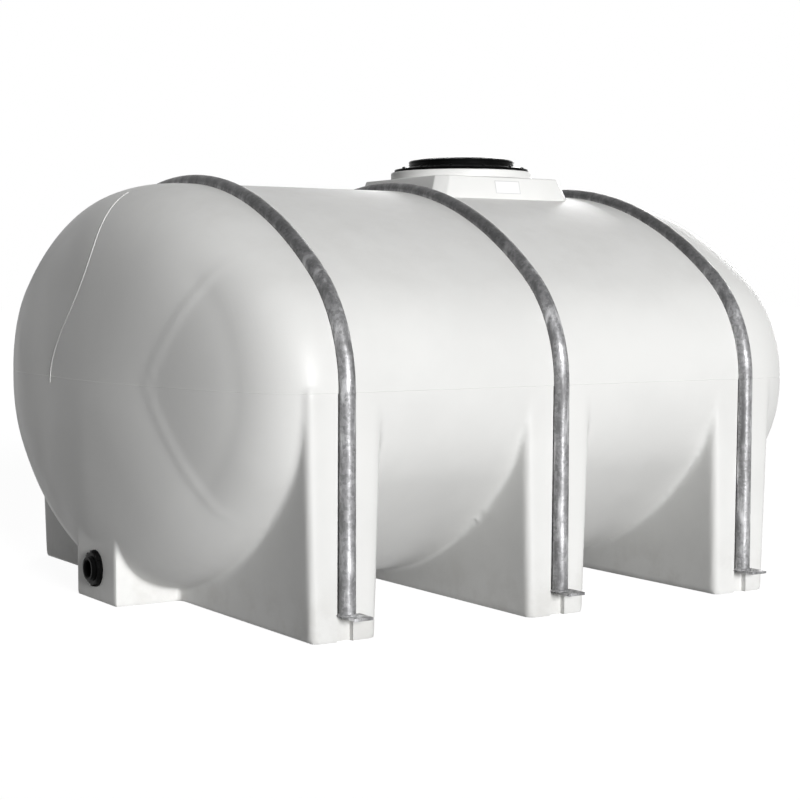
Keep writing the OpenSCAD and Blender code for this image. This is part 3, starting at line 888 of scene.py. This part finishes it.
def screw_head(name, radius):
    """Low domed head of a screw with a square socket."""
    height = radius * SCREW_HEIGHT
    half = radius * SCREW_SOCKET
    profile = [(radius * out, height * up) for out, up in SCREW_OUTLINE]
    head = turned(name, profile, (0, 0, 0), 24)
    cut(head, block("socket", (-half, -half, height * 0.5), (half, half, height * 2)))
    return head


class TANK_OT_add_ring(bpy.types.Operator):
    """Add the clamp ring with its sloping skirt and its screws"""

    bl_idname = "tank.add_ring"
    bl_label = "Add clamp ring"

    def execute(self, context):
        settings = context.scene.tank_fitting
        low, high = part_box("clamp_ring")
        outer = (high.x - low.x) / 2
        half = (high.z - low.z) / 2
        skirt_low = half - settings.skirt_fall
        skirt_out = outer - 0.006
        skirt_in = LID_R + 0.012
        inner = LID_R - 0.018
        lip = 0.0015
        profile = [
            (inner, -half), (outer - lip, -half), (outer, -half + lip),
            (outer, skirt_low), (skirt_out, skirt_low), (skirt_in, half), (inner, half),
            (inner, half - 0.006), (inner + 0.002, half - 0.01), (inner, -half + 0.002)]
        ring = ring_part("lid_clamp_ring", "clamp_ring", profile, settings.edge)
        finished(ring, "tank", "black_plastic", "black_lid_plastic", "clamp_ring")
        heads = []
        slope = math.atan2(settings.skirt_fall, skirt_out - skirt_in)
        middle = (skirt_out + skirt_in) / 2
        height = (low.z + high.z) / 2 + half - settings.skirt_fall / 2
        for index in range(settings.screws):
            angle = math.tau * (index + 0.5) / settings.screws
            head = screw_head("screw", settings.screw_radius)
            head.matrix_world = (
                Matrix.Translation((MANWAY.x, 0, height)) @ Matrix.Rotation(angle, 4, "Z")
                @ Matrix.Translation((middle, 0, 0)) @ Matrix.Rotation(slope, 4, "Y"))
            use(head)
            heads.append(named("screw"))
        screws = join(heads, "ring_screws")
        smooth(screws, 40)
        finished(screws, "tank", "black_plastic", "black_lid_plastic")
        return {"FINISHED"}


class TANK_OT_add_lid(bpy.types.Operator):
    """Add the stepped and dished lid that lifts out of the clamp ring"""

    bl_idname = "tank.add_lid"
    bl_label = "Add lid"

    def execute(self, context):
        settings = context.scene.tank_fitting
        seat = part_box("lid_gasket")[1].z
        top = LID_HIGH.z - seat
        bottom = LID_LOW.z - seat
        step = settings.lid_step
        skin = 0.006
        spigot = LID_R - 0.02
        waist = LID_R - 0.0015
        rim = top - 0.022
        outside = [(LID_R, 0), (LID_R, 0.006), (waist, 0.0075), (waist, 0.0095), (LID_R, 0.011),
                   (LID_R, rim - 0.003), (LID_R - 0.003, rim), (LID_R - 0.012, rim + 0.0012),
                   (LID_R - 0.0135, rim + 0.001 - step), (LID_R - 0.02, rim + 0.002 - step),
                   (LID_R - 0.023, rim + 0.0035)]
        dished = []
        dish_r = LID_R - 0.03
        dish_low = rim + 0.005
        dish_rise = top - 0.004 - dish_low
        steps = 10
        for index in range(steps + 1):
            left = 1 - index / steps
            dished.append((dish_r * left, dish_low + dish_rise * (1 - left ** 2)))
        inside = [(0, rim - skin), (spigot - skin, rim - 0.008), (spigot - skin, bottom),
                  (spigot, bottom), (spigot, 0)]
        lid = turned("manway_lid", outside + dished + inside + outside[:1],
                     (MANWAY.x, 0, seat), 192)
        smooth(lid, 28)
        finished(lid, "lid", "black_plastic", "black_lid_plastic", "lid")
        return {"FINISHED"}


# ---------------------------------------------------------------- outlet

class TANK_OT_add_outlet(bpy.types.Operator):
    """Add the threaded outlet with its lugged nut"""

    bl_idname = "tank.add_outlet"
    bl_label = "Add outlet"

    def execute(self, context):
        settings = context.scene.tank_fitting
        low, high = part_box("outlet_nut")
        centre = (low + high) / 2
        foot = Vector((high.x, centre.y, centre.z))
        outer = (high.y - low.y) / 2
        thick = high.x - low.x
        self.add_nut(settings, foot, outer, thick)
        body_low, body_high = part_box("outlet_body")
        nose = foot.x - body_low.x
        back = foot.x - body_high.x
        flange = foot.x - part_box("outlet_gasket")[1].x
        bore = OUTLET_BORE_R
        barrel = OUTLET_R - 0.0006
        nose_edge = 0.0015
        pitch = settings.thread_pitch
        profile = [(bore, back), (outer, back), (outer, flange), (barrel, flange)]
        place = thick + 0.001
        while place < nose - pitch * 1.5:
            profile += [(barrel, place), (barrel - pitch * 0.5, place + pitch * 0.5)]
            place += pitch
        thread_out, thread_in, thread_depth = bore + 0.0025, bore + 0.0008, 0.026
        profile += [(barrel, place), (barrel, nose - nose_edge), (barrel - nose_edge, nose),
                    (bore + 0.004, nose), (thread_out, nose - 0.002)]
        place = nose - 0.004
        while place > nose - thread_depth:
            profile += [(thread_out, place), (thread_in, place - pitch * 0.5)]
            place -= pitch
        profile += [(bore, place), profile[0]]
        body = turned("outlet_barrel", profile, foot, 96, (-1, 0, 0))
        smooth(body, 30)
        finished(body, "tank", "fitting_plastic", "black_fitting_plastic", "outlet_body")
        return {"FINISHED"}

    def add_nut(self, settings, foot, outer, thick):
        """Round nut with a rim at its foot and lugs to grip it by."""
        turn = Matrix.Rotation(-math.pi / 2, 4, "Y")
        inner_r = outer - settings.lug_depth
        hole_r = OUTLET_R + 0.0002
        rim = thick * 0.3
        lug_out = outer - 0.002
        lug_top = thick - 0.001
        lug_half = 0.01
        lug_edge = 0.0022
        profile = rounded([(hole_r, 0), (outer, 0), (outer, rim), (inner_r, rim),
                           (inner_r, thick), (hole_r, thick)], 0.0014)
        nut = turned("outlet_lock_nut", profile, (0, 0, 0), 128)
        for index in range(settings.lugs):
            lug = block("lug", (inner_r - 0.008, -lug_half, rim * 0.5), (lug_out, lug_half, lug_top))
            bevel(lug, lambda a, b: max(a.x, b.x) > lug_out - 0.001 or min(a.z, b.z) > lug_top - 0.0005,
                  lug_edge, 3)
            lug.matrix_world = Matrix.Rotation(math.tau * index / settings.lugs, 4, "Z")
            use(lug)
            cut(nut, named("lug"), "UNION")
        nut.matrix_world = Matrix.Translation(foot) @ turn
        use(nut)
        nut = named("outlet_lock_nut")
        smooth(nut, 35)
        finished(nut, "tank", "fitting_plastic", "black_fitting_plastic", "outlet_nut")


# ---------------------------------------------------------------- hoops, feet and label

class TANK_OT_finish_hoops(bpy.types.Operator):
    """Give the hoops their zinc, and add their foot plates with weld beads and bolt holes"""

    bl_idname = "tank.finish_hoops"
    bl_label = "Finish hoops"

    def execute(self, context):
        settings = context.scene.tank_fitting
        for end in ENDS:
            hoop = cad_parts["hoop_" + end]
            hoop.data.materials.clear()
            hoop.data.materials.append(finish_for("hoop_zinc"))
        for foot, x in zip(FEET, LEG_X):
            for side, reach in ((-1, "near"), (1, "far")):
                self.add_plate(settings, "foot_plate_%s_%s" % (foot, reach), x, side)
        return {"FINISHED"}

    def add_plate(self, settings, node, x, side):
        """Foot plate with a bolt hole, and the weld bead around the pipe that stands on it."""
        low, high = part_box(node)
        inner, outer = (low.y, high.y) if side > 0 else (high.y, low.y)
        corner, edge = 0.003, 0.0009
        plate = block(node + "_steel", low, high)
        bevel(plate, lambda a, b: abs(a.z - b.z) > edge, corner, 3)
        bevel(plate, lambda a, b: abs(a.z - b.z) < 1e-5 and (a - b).length > 0.002, edge, 2)
        hole = middle_of(node)
        hole.y = (outer + side * (PIPE_Y + PIPE_R)) / 2
        cut(plate, drum("hole", hole, settings.bolt_hole / 2, 0.05, 40))
        bead = self.weld_bead(settings.weld, Vector((x, side * PIPE_Y, high.z)))
        past_plate, behind_pipe = 0.05, 0.2
        cut(bead, block("strip", (low.x - past_plate, side * (HALF_W - behind_pipe), 0),
                        (high.x + past_plate, side * (abs(inner) + WELD_RIPPLE), 1)))
        plate = join([plate, bead], node + "_steel")
        smooth(plate, 35)
        finished(plate, "tank", "galvanised_plate", "plate_zinc", node)

    def weld_bead(self, weld, foot):
        """Rippled ring of weld around a pipe's foot."""
        root = PIPE_R - 0.002
        bead = turned("weld", [
            (root, 0), (PIPE_R + weld, -0.001), (PIPE_R + weld * 0.8, weld * 0.35),
            (PIPE_R + weld * 0.35, weld * 0.8), (PIPE_R, weld * 1.1), (root, weld),
            (root, 0)], foot, 72)
        for vertex in bead.data.vertices:
            away = Vector((vertex.co.x - foot.x, vertex.co.y - foot.y, 0))
            if away.length > PIPE_R + WELD_RIPPLE:
                wave = math.sin(math.atan2(away.y, away.x) * WELD_WAVES)
                vertex.co += away.normalized() * wave * WELD_RIPPLE
        return bead


class TANK_OT_add_label(bpy.types.Operator):
    """Add the blank label on the saddle"""

    bl_idname = "tank.add_label"
    bl_label = "Add label"

    def execute(self, context):
        settings = context.scene.tank_fitting
        x, z = settings.label_place
        width, height = settings.label_size
        moulding = bpy.data.objects["tank_moulding"]
        hit, point, normal, _ = moulding.ray_cast(Vector((x, -FAR_OUT, z)), Vector((0, 1, 0)))
        if not hit:
            raise RuntimeError("the label's place is not on the saddle")
        deselect_all()
        bpy.ops.mesh.primitive_grid_add(x_subdivisions=24, y_subdivisions=12, size=1)
        bpy.context.object.scale = (width, height, 1)
        label = named("blank_label")
        across = Vector((1, 0, 0))
        up = normal.cross(across).normalized()
        across = up.cross(normal)
        spin = Matrix((across, up, normal)).transposed().to_4x4()
        before_skin, off_skin, thickness = 0.01, 0.0006, 0.0005
        label.matrix_world = Matrix.Translation(point + normal * before_skin) @ spin
        use(label)
        label = named("blank_label")
        modify(label, "SHRINKWRAP", target=moulding, wrap_method="PROJECT",
               use_negative_direction=True, use_positive_direction=True, offset=off_skin)
        modify(label, "SOLIDIFY", thickness=thickness, offset=-1)
        smooth(label, 40)
        finished(label, "tank", "moulded_shell", "blank_vinyl")
        return {"FINISHED"}


# ---------------------------------------------------------------- finishes

def new_material(name):
    """New material with its node tree and its shader."""
    material = bpy.data.materials.new(name)
    material.use_nodes = True
    return material, material.node_tree, material.node_tree.nodes["Principled BSDF"]


def node(tree, kind, inputs=None, **values):
    """Adds a shader node, sets its values and fills or links its inputs."""
    item = tree.nodes.new("ShaderNode" + kind)
    for key, value in values.items():
        setattr(item, key, value)
    for key, value in (inputs or {}).items():
        if isinstance(value, bpy.types.NodeSocket):
            tree.links.new(value, item.inputs[key])
        else:
            item.inputs[key].default_value = value
    return item


def shader_group(name, inputs, outputs):
    """Empty node group with named number inputs and outputs, and its two end nodes."""
    group = bpy.data.node_groups.new(name, "ShaderNodeTree")
    for label, value in inputs.items():
        socket = group.interface.new_socket(
            name=label, in_out="INPUT", socket_type="NodeSocketFloat")
        socket.default_value = value
    for label in outputs:
        group.interface.new_socket(name=label, in_out="OUTPUT", socket_type="NodeSocketFloat")
    return group, group.nodes.new("NodeGroupInput"), group.nodes.new("NodeGroupOutput")


def ramp(tree, value, low, high, to_low=0.0, to_high=1.0):
    """Smooth step of a value between two levels."""
    return node(tree, "MapRange", {
        "Value": value, "From Min": low, "From Max": high, "To Min": to_low, "To Max": to_high,
    }, interpolation_type="SMOOTHSTEP").outputs["Result"]


def times(tree, first, second):
    """Product of two values."""
    return node(tree, "Math", {0: first, 1: second}, operation="MULTIPLY").outputs[0]


def fine_grain():
    """Small even roughness of a moulded skin, with a broad uneven shade."""
    group, start, end = shader_group(
        "fine_grain", {"Scale": 400.0, "Broad Scale": 3.0}, ("Height", "Mottle"))
    place = node(group, "TexCoord").outputs["Object"]
    fine = node(group, "TexNoise", {
        "Vector": place, "Scale": start.outputs["Scale"], "Detail": 3.0, "Roughness": 0.6})
    broad = node(group, "TexNoise", {
        "Vector": place, "Scale": start.outputs["Broad Scale"], "Detail": 5.0, "Roughness": 0.55})
    group.links.new(fine.outputs["Fac"], end.inputs["Height"])
    group.links.new(broad.outputs["Fac"], end.inputs["Mottle"])
    return group


def settled_dust():
    """Dust on faces that look up, and patchy darkening towards the floor that fades with height."""
    group, start, end = shader_group(
        "settled_dust", {"Splash Height": 0.25, "Grain": 9.0}, ("Dust", "Low Darkening"))
    coords = node(group, "TexCoord")
    upward = node(group, "SeparateXYZ", {0: coords.outputs["Normal"]}).outputs["Z"]
    height = node(group, "SeparateXYZ", {0: coords.outputs["Object"]}).outputs["Z"]
    patches = node(group, "TexNoise", {
        "Vector": coords.outputs["Object"], "Scale": start.outputs["Grain"],
        "Detail": 6.0, "Roughness": 0.65}).outputs["Fac"]
    dust = times(group, ramp(group, upward, 0.3, 1.0), ramp(group, patches, 0.35, 0.7))
    # Patchy darkening towards the floor, gone at the given height
    fade = node(group, "Math", {0: height, 1: start.outputs["Splash Height"]},
                operation="DIVIDE").outputs[0]
    low = ramp(group, fade, 0.0, 1.0, 1.0, 0.0)
    group.links.new(dust, end.inputs["Dust"])
    group.links.new(times(group, low, ramp(group, patches, 0.42, 0.68)), end.inputs["Low Darkening"])
    return group


def zinc_spangle():
    """Flake pattern of hot-dip zinc, its runs, which the material paints partly as a bright glint, and
    a mask of the tops high on the hoops, which it paints dark as painted shade.
    """
    group, start, end = shader_group(
        "zinc_spangle", {"Scale": 130.0, "Run Scale": 26.0}, ("Flake", "Runs And Glint", "Top Shade", "Height"))
    coords = node(group, "TexCoord")
    place = coords.outputs["Object"]
    cells = node(group, "TexVoronoi", {"Vector": place, "Scale": start.outputs["Scale"]})
    shade = node(group, "SeparateColor", {0: cells.outputs["Color"]}).outputs[0]
    # Runs along the pipe, which the material also uses as a painted glint
    stretched = node(group, "Mapping", {"Vector": place, "Scale": (1.0, 1.0, 0.22)})
    runs_and_glint = node(group, "TexNoise", {
        "Vector": stretched.outputs[0], "Scale": start.outputs["Run Scale"],
        "Detail": 5.0, "Roughness": 0.6}).outputs["Fac"]
    specks = node(group, "TexNoise", {
        "Vector": place, "Scale": start.outputs["Scale"], "Detail": 2.0}).outputs["Fac"]
    upward = node(group, "SeparateXYZ", {0: coords.outputs["Normal"]}).outputs["Z"]
    height = node(group, "SeparateXYZ", {0: place}).outputs["Z"]
    # Painted shade mask: zinc facing up, high on the tank, where the dark surroundings are reflected
    aloft = ramp(group, height, PARTING_Z + 0.1, PARTING_Z + 0.5)
    top_shade = times(group, aloft, ramp(group, upward, -0.35, 0.35))
    rough = times(group, specks, ramp(group, runs_and_glint, 0.3, 0.7, 0.5, 1.0))
    for socket, value in (("Flake", shade), ("Runs And Glint", runs_and_glint), ("Top Shade", top_shade), ("Height", rough)):
        group.links.new(value, end.inputs[socket])
    return group


def placed(tree, builder, **values):
    """Places a shared node group in a material, building it the first time."""
    name = builder.__name__
    item = tree.nodes.new("ShaderNodeGroup")
    item.node_tree = bpy.data.node_groups.get(name) or builder()
    for key, value in values.items():
        item.inputs[key.replace("_", " ").title()].default_value = value
    return item.outputs


def mixed(tree, share, first, second):
    """Colour between two colours by a share."""
    item = node(tree, "Mix", {"Factor": share}, data_type="RGBA")
    for socket, value in ((item.inputs[6], first), (item.inputs[7], second)):
        if isinstance(value, bpy.types.NodeSocket):
            tree.links.new(value, socket)
        else:
            socket.default_value = (*value, 1)
    return item.outputs[2]


def shaded(colour, gain):
    """Colour made lighter or darker by a gain."""
    return tuple(channel * gain for channel in colour)


def raised(tree, shader, height, distance, strength=1.0):
    """Feeds a height to a shader's normal."""
    bump = node(tree, "Bump", {"Height": height, "Distance": distance, "Strength": strength})
    tree.links.new(bump.outputs[0], shader.inputs["Normal"])


def moulded_finish(finish):
    """Milky polyethylene with a fine orange peel, broad clouds, dust, and patchy darkening towards the
    floor.
    """
    material, tree, shader = new_material("natural_polyethylene")
    grain = placed(tree, fine_grain, scale=260.0, broad_scale=2.4)
    dust = placed(tree, settled_dust, splash_height=0.22, grain=7.0)
    base = mixed(tree, ramp(tree, grain["Mottle"], 0.35, 0.65),
                 shaded(finish.poly, 0.955), finish.poly)
    base = mixed(tree, times(tree, dust["Dust"], 0.1), base, finish.grime)
    # Patchy darkening towards the floor
    base = mixed(tree, times(tree, dust["Low Darkening"], 0.22), base, finish.grime)
    tree.links.new(base, shader.inputs["Base Color"])
    tree.links.new(ramp(tree, grain["Mottle"], 0.3, 0.7, 0.4, 0.52), shader.inputs["Roughness"])
    shader.inputs["Specular IOR Level"].default_value = 0.4
    raised(tree, shader, grain["Height"], 0.0006, 0.35)
    return material


def plastic_finish(name, colour, least_rough, most_rough, scale):
    """Black moulded plastic, satin with a fine grain and a little dust on top."""
    material, tree, shader = new_material(name)
    grain = placed(tree, fine_grain, scale=scale, broad_scale=14.0)
    dust = placed(tree, settled_dust, splash_height=0.08, grain=40.0)
    base = mixed(tree, ramp(tree, grain["Mottle"], 0.35, 0.65), colour, shaded(colour, 1.7))
    base = mixed(tree, times(tree, dust["Dust"], 0.008), base, (0.3, 0.29, 0.27))
    tree.links.new(base, shader.inputs["Base Color"])
    rough = ramp(tree, grain["Mottle"], 0.3, 0.7, least_rough, most_rough)
    tree.links.new(rough, shader.inputs["Roughness"])
    shader.inputs["Specular IOR Level"].default_value = 0.04
    shader.inputs["Specular Tint"].default_value = (0.12, 0.12, 0.12, 1)
    raised(tree, shader, grain["Height"], 0.0003, 0.4)
    return material


def zinc_finish(name, colour, top_shade, scale):
    """Galvanised steel with flakes, runs painted lighter and darker with a painted glint, and a top
    painted dark as painted shade and made less metallic.
    """
    material, tree, shader = new_material(name)
    zinc = placed(tree, zinc_spangle, scale=scale, run_scale=30.0)
    base = mixed(tree, zinc["Flake"], shaded(colour, 0.72), shaded(colour, 1.2))
    # Painted highlight: the strongest runs are lifted to 2.5 times the zinc colour as bright glints,
    # and the weakest runs are darkened
    base = mixed(tree, ramp(tree, zinc["Runs And Glint"], 0.5, 0.72), base, shaded(colour, 2.5))
    base = mixed(tree, ramp(tree, zinc["Runs And Glint"], 0.5, 0.3), base, shaded(colour, 0.5))
    # Painted shade: the flaked dark colour on the tops stands for the dark reflections there
    shaded_top = mixed(tree, zinc["Flake"], shaded(top_shade, 0.7), shaded(top_shade, 1.5))
    base = mixed(tree, times(tree, zinc["Top Shade"], 0.9), base, shaded_top)
    tree.links.new(base, shader.inputs["Base Color"])
    tree.links.new(ramp(tree, zinc["Top Shade"], 0.0, 1.0, 0.8, 0.2), shader.inputs["Metallic"])
    tree.links.new(ramp(tree, zinc["Runs And Glint"], 0.3, 0.75, 0.55, 0.32), shader.inputs["Roughness"])
    raised(tree, shader, zinc["Height"], 0.0006, 0.6)
    return material


def label_finish(finish):
    """Blank white vinyl with a faint grain, and a grey band along its edge as painted shade."""
    material, tree, shader = new_material("blank_vinyl")
    grain = placed(tree, fine_grain, scale=900.0, broad_scale=40.0)
    base = mixed(tree, ramp(tree, grain["Mottle"], 0.3, 0.7),
                 shaded(finish.label, 0.97), finish.label)
    fitting = bpy.context.scene.tank_fitting
    place = node(tree, "TexCoord").outputs["Object"]
    edge = None
    for axis, middle, size in zip("XZ", fitting.label_place, fitting.label_size):
        along = node(tree, "SeparateXYZ", {0: place}).outputs[axis]
        off = node(tree, "Math", {0: along, 1: middle}, operation="SUBTRACT").outputs[0]
        off = node(tree, "Math", {0: off}, operation="ABSOLUTE").outputs[0]
        rim = size / 2 - LABEL_RIM
        near = ramp(tree, off, rim - LABEL_RIM_FADE, rim)
        edge = near if edge is None else node(
            tree, "Math", {0: edge, 1: near}, operation="MAXIMUM").outputs[0]
    # Painted shade: the grey band along the edge stands for the shadow line of the label's thin edge
    base = mixed(tree, edge, base, shaded(finish.label, 0.72))
    tree.links.new(base, shader.inputs["Base Color"])
    shader.inputs["Roughness"].default_value = 0.32
    raised(tree, shader, grain["Height"], 0.0001, 0.2)
    return material


def finish_for(name):
    """Material of a finish, made the first time that a piece asks for it."""
    known = bpy.data.materials.get(name)
    if known:
        return known
    finish = bpy.context.scene.tank_finish
    if name == "natural_polyethylene":
        return moulded_finish(finish)
    if name == "blank_vinyl":
        return label_finish(finish)
    if name == "black_lid_plastic":
        return plastic_finish(name, finish.black, 0.24, 0.36, scale=300.0)
    if name == "black_fitting_plastic":
        return plastic_finish(name, finish.black, 0.3, 0.42, scale=500.0)
    if name == "seal_rubber":
        return plastic_finish(name, shaded(finish.black, 1.4), 0.55, 0.7, scale=700.0)
    if name == "hoop_zinc":
        return zinc_finish(name, finish.zinc, finish.dull_zinc, scale=120.0)
    return zinc_finish(name, shaded(finish.zinc, 1.1), finish.dull_zinc, scale=200.0)


# ---------------------------------------------------------------- stage

def plain_view(tree):
    """Mask of the rays that see the backdrop itself: camera, mirror and clear rays."""
    path = node(tree, "LightPath").outputs
    total = path["Is Camera Ray"]
    for name in ("Is Glossy Ray", "Is Transmission Ray"):
        total = node(tree, "Math", {0: total, 1: path[name]},
                     operation="ADD", use_clamp=True).outputs[0]
    return total


def add_floor(stage):
    """Pale floor that the camera sees as white."""
    deselect_all()
    under_feet = -0.0005
    bpy.ops.mesh.primitive_plane_add(size=stage.floor_size, location=(0, 0, under_feet))
    floor = bpy.context.object
    floor.name = "floor"
    material, tree, shader = new_material("pale_floor")
    floor.data.materials.append(material)
    shader.inputs["Base Color"].default_value = (*[stage.floor_white] * 3, 1)
    shader.inputs["Roughness"].default_value = 0.9
    shader.inputs["Specular IOR Level"].default_value = 0
    shader.inputs["Emission Color"].default_value = (1, 1, 1, 1)
    glow = times(tree, plain_view(tree), stage.floor_glow)
    tree.links.new(glow, shader.inputs["Emission Strength"])


def set_sky(scene, stage):
    """White sky behind the tank that lights it only a little."""
    world = bpy.data.worlds.new("studio")
    scene.world = world
    world.use_nodes = True
    tree = world.node_tree
    sky = tree.nodes["Background"]
    sky.inputs["Color"].default_value = (1, 1, 1, 1)
    level = node(tree, "MapRange", {
        "Value": plain_view(tree), "To Min": stage.sky, "To Max": 1}).outputs["Result"]
    tree.links.new(level, sky.inputs["Strength"])


def add_lamp(name, direction, energy, angle):
    """Sun lamp that shines from a direction."""
    distance = 8
    bpy.ops.object.light_add(type="SUN", location=Vector(direction) * distance)
    lamp = bpy.context.object
    lamp.name = name
    lamp.data.energy = energy
    lamp.data.angle = angle
    lamp.rotation_euler = Vector(direction).to_track_quat("Z", "Y").to_euler()


def add_camera(scene):
    """Camera that looks along the near side from beyond the outlet end."""
    bpy.ops.object.camera_add(location=CAMERA_PLACE)
    camera = bpy.context.object
    turn = (Matrix.Rotation(CAMERA_YAW, 4, "Z")
            @ Matrix.Rotation(math.pi / 2 + CAMERA_PITCH, 4, "X")
            @ Matrix.Rotation(CAMERA_ROLL, 4, "Z"))
    camera.rotation_euler = turn.to_euler()
    camera.data.lens = CAMERA_LENS
    camera.data.sensor_width = CAMERA_SENSOR
    camera.data.shift_x, camera.data.shift_y = CAMERA_SHIFT
    camera.data.clip_end = CAMERA_REACH
    scene.camera = camera


class TANK_OT_set_stage(bpy.types.Operator):
    """Set the pale floor, the lamps and the camera"""

    bl_idname = "tank.set_stage"
    bl_label = "Set stage"

    def execute(self, context):
        scene = context.scene
        stage = scene.tank_stage
        scene.view_settings.view_transform = "Standard"
        add_floor(stage)
        set_sky(scene, stage)
        add_lamp("key", stage.key_from, stage.key, stage.key_angle)
        add_lamp("back", stage.back_from, stage.back, stage.fill_angle)
        add_lamp("fill", stage.fill_from, stage.fill, stage.fill_angle)
        add_camera(scene)
        return {"FINISHED"}


class TANK_PT_panel(bpy.types.Panel):
    """Lists the tank's pieces"""

    bl_label = "Leg Tank"
    bl_idname = "TANK_PT_panel"
    bl_space_type = "VIEW_3D"
    bl_region_type = "UI"
    bl_category = "Leg Tank"

    def draw(self, context):
        column = self.layout.column(align=True)
        for step in STEPS:
            column.operator(step)


STEPS = (
    "tank.add_moulding", "tank.add_seals", "tank.add_ring", "tank.add_lid", "tank.add_outlet",
    "tank.finish_hoops", "tank.add_label", "tank.set_stage",
)
CLASSES = (
    TankMouldSettings, TankFittingSettings, TankFinishSettings, TankStageSettings,
    TANK_OT_add_moulding, TANK_OT_add_seals, TANK_OT_add_ring, TANK_OT_add_lid,
    TANK_OT_add_outlet, TANK_OT_finish_hoops, TANK_OT_add_label, TANK_OT_set_stage,
    TANK_PT_panel,
)


def register():
    for item in CLASSES:
        bpy.utils.register_class(item)
    bpy.types.Scene.tank_mould = bpy.props.PointerProperty(type=TankMouldSettings)
    bpy.types.Scene.tank_fitting = bpy.props.PointerProperty(type=TankFittingSettings)
    bpy.types.Scene.tank_finish = bpy.props.PointerProperty(type=TankFinishSettings)
    bpy.types.Scene.tank_stage = bpy.props.PointerProperty(type=TankStageSettings)


def unregister():
    del bpy.types.Scene.tank_stage
    del bpy.types.Scene.tank_finish
    del bpy.types.Scene.tank_fitting
    del bpy.types.Scene.tank_mould
    for item in reversed(CLASSES):
        bpy.utils.unregister_class(item)


def main():
    register()
    for step in STEPS:
        group, action = step.split(".")
        getattr(getattr(bpy.ops, group), action)()


if __name__ == "__main__":
    main()
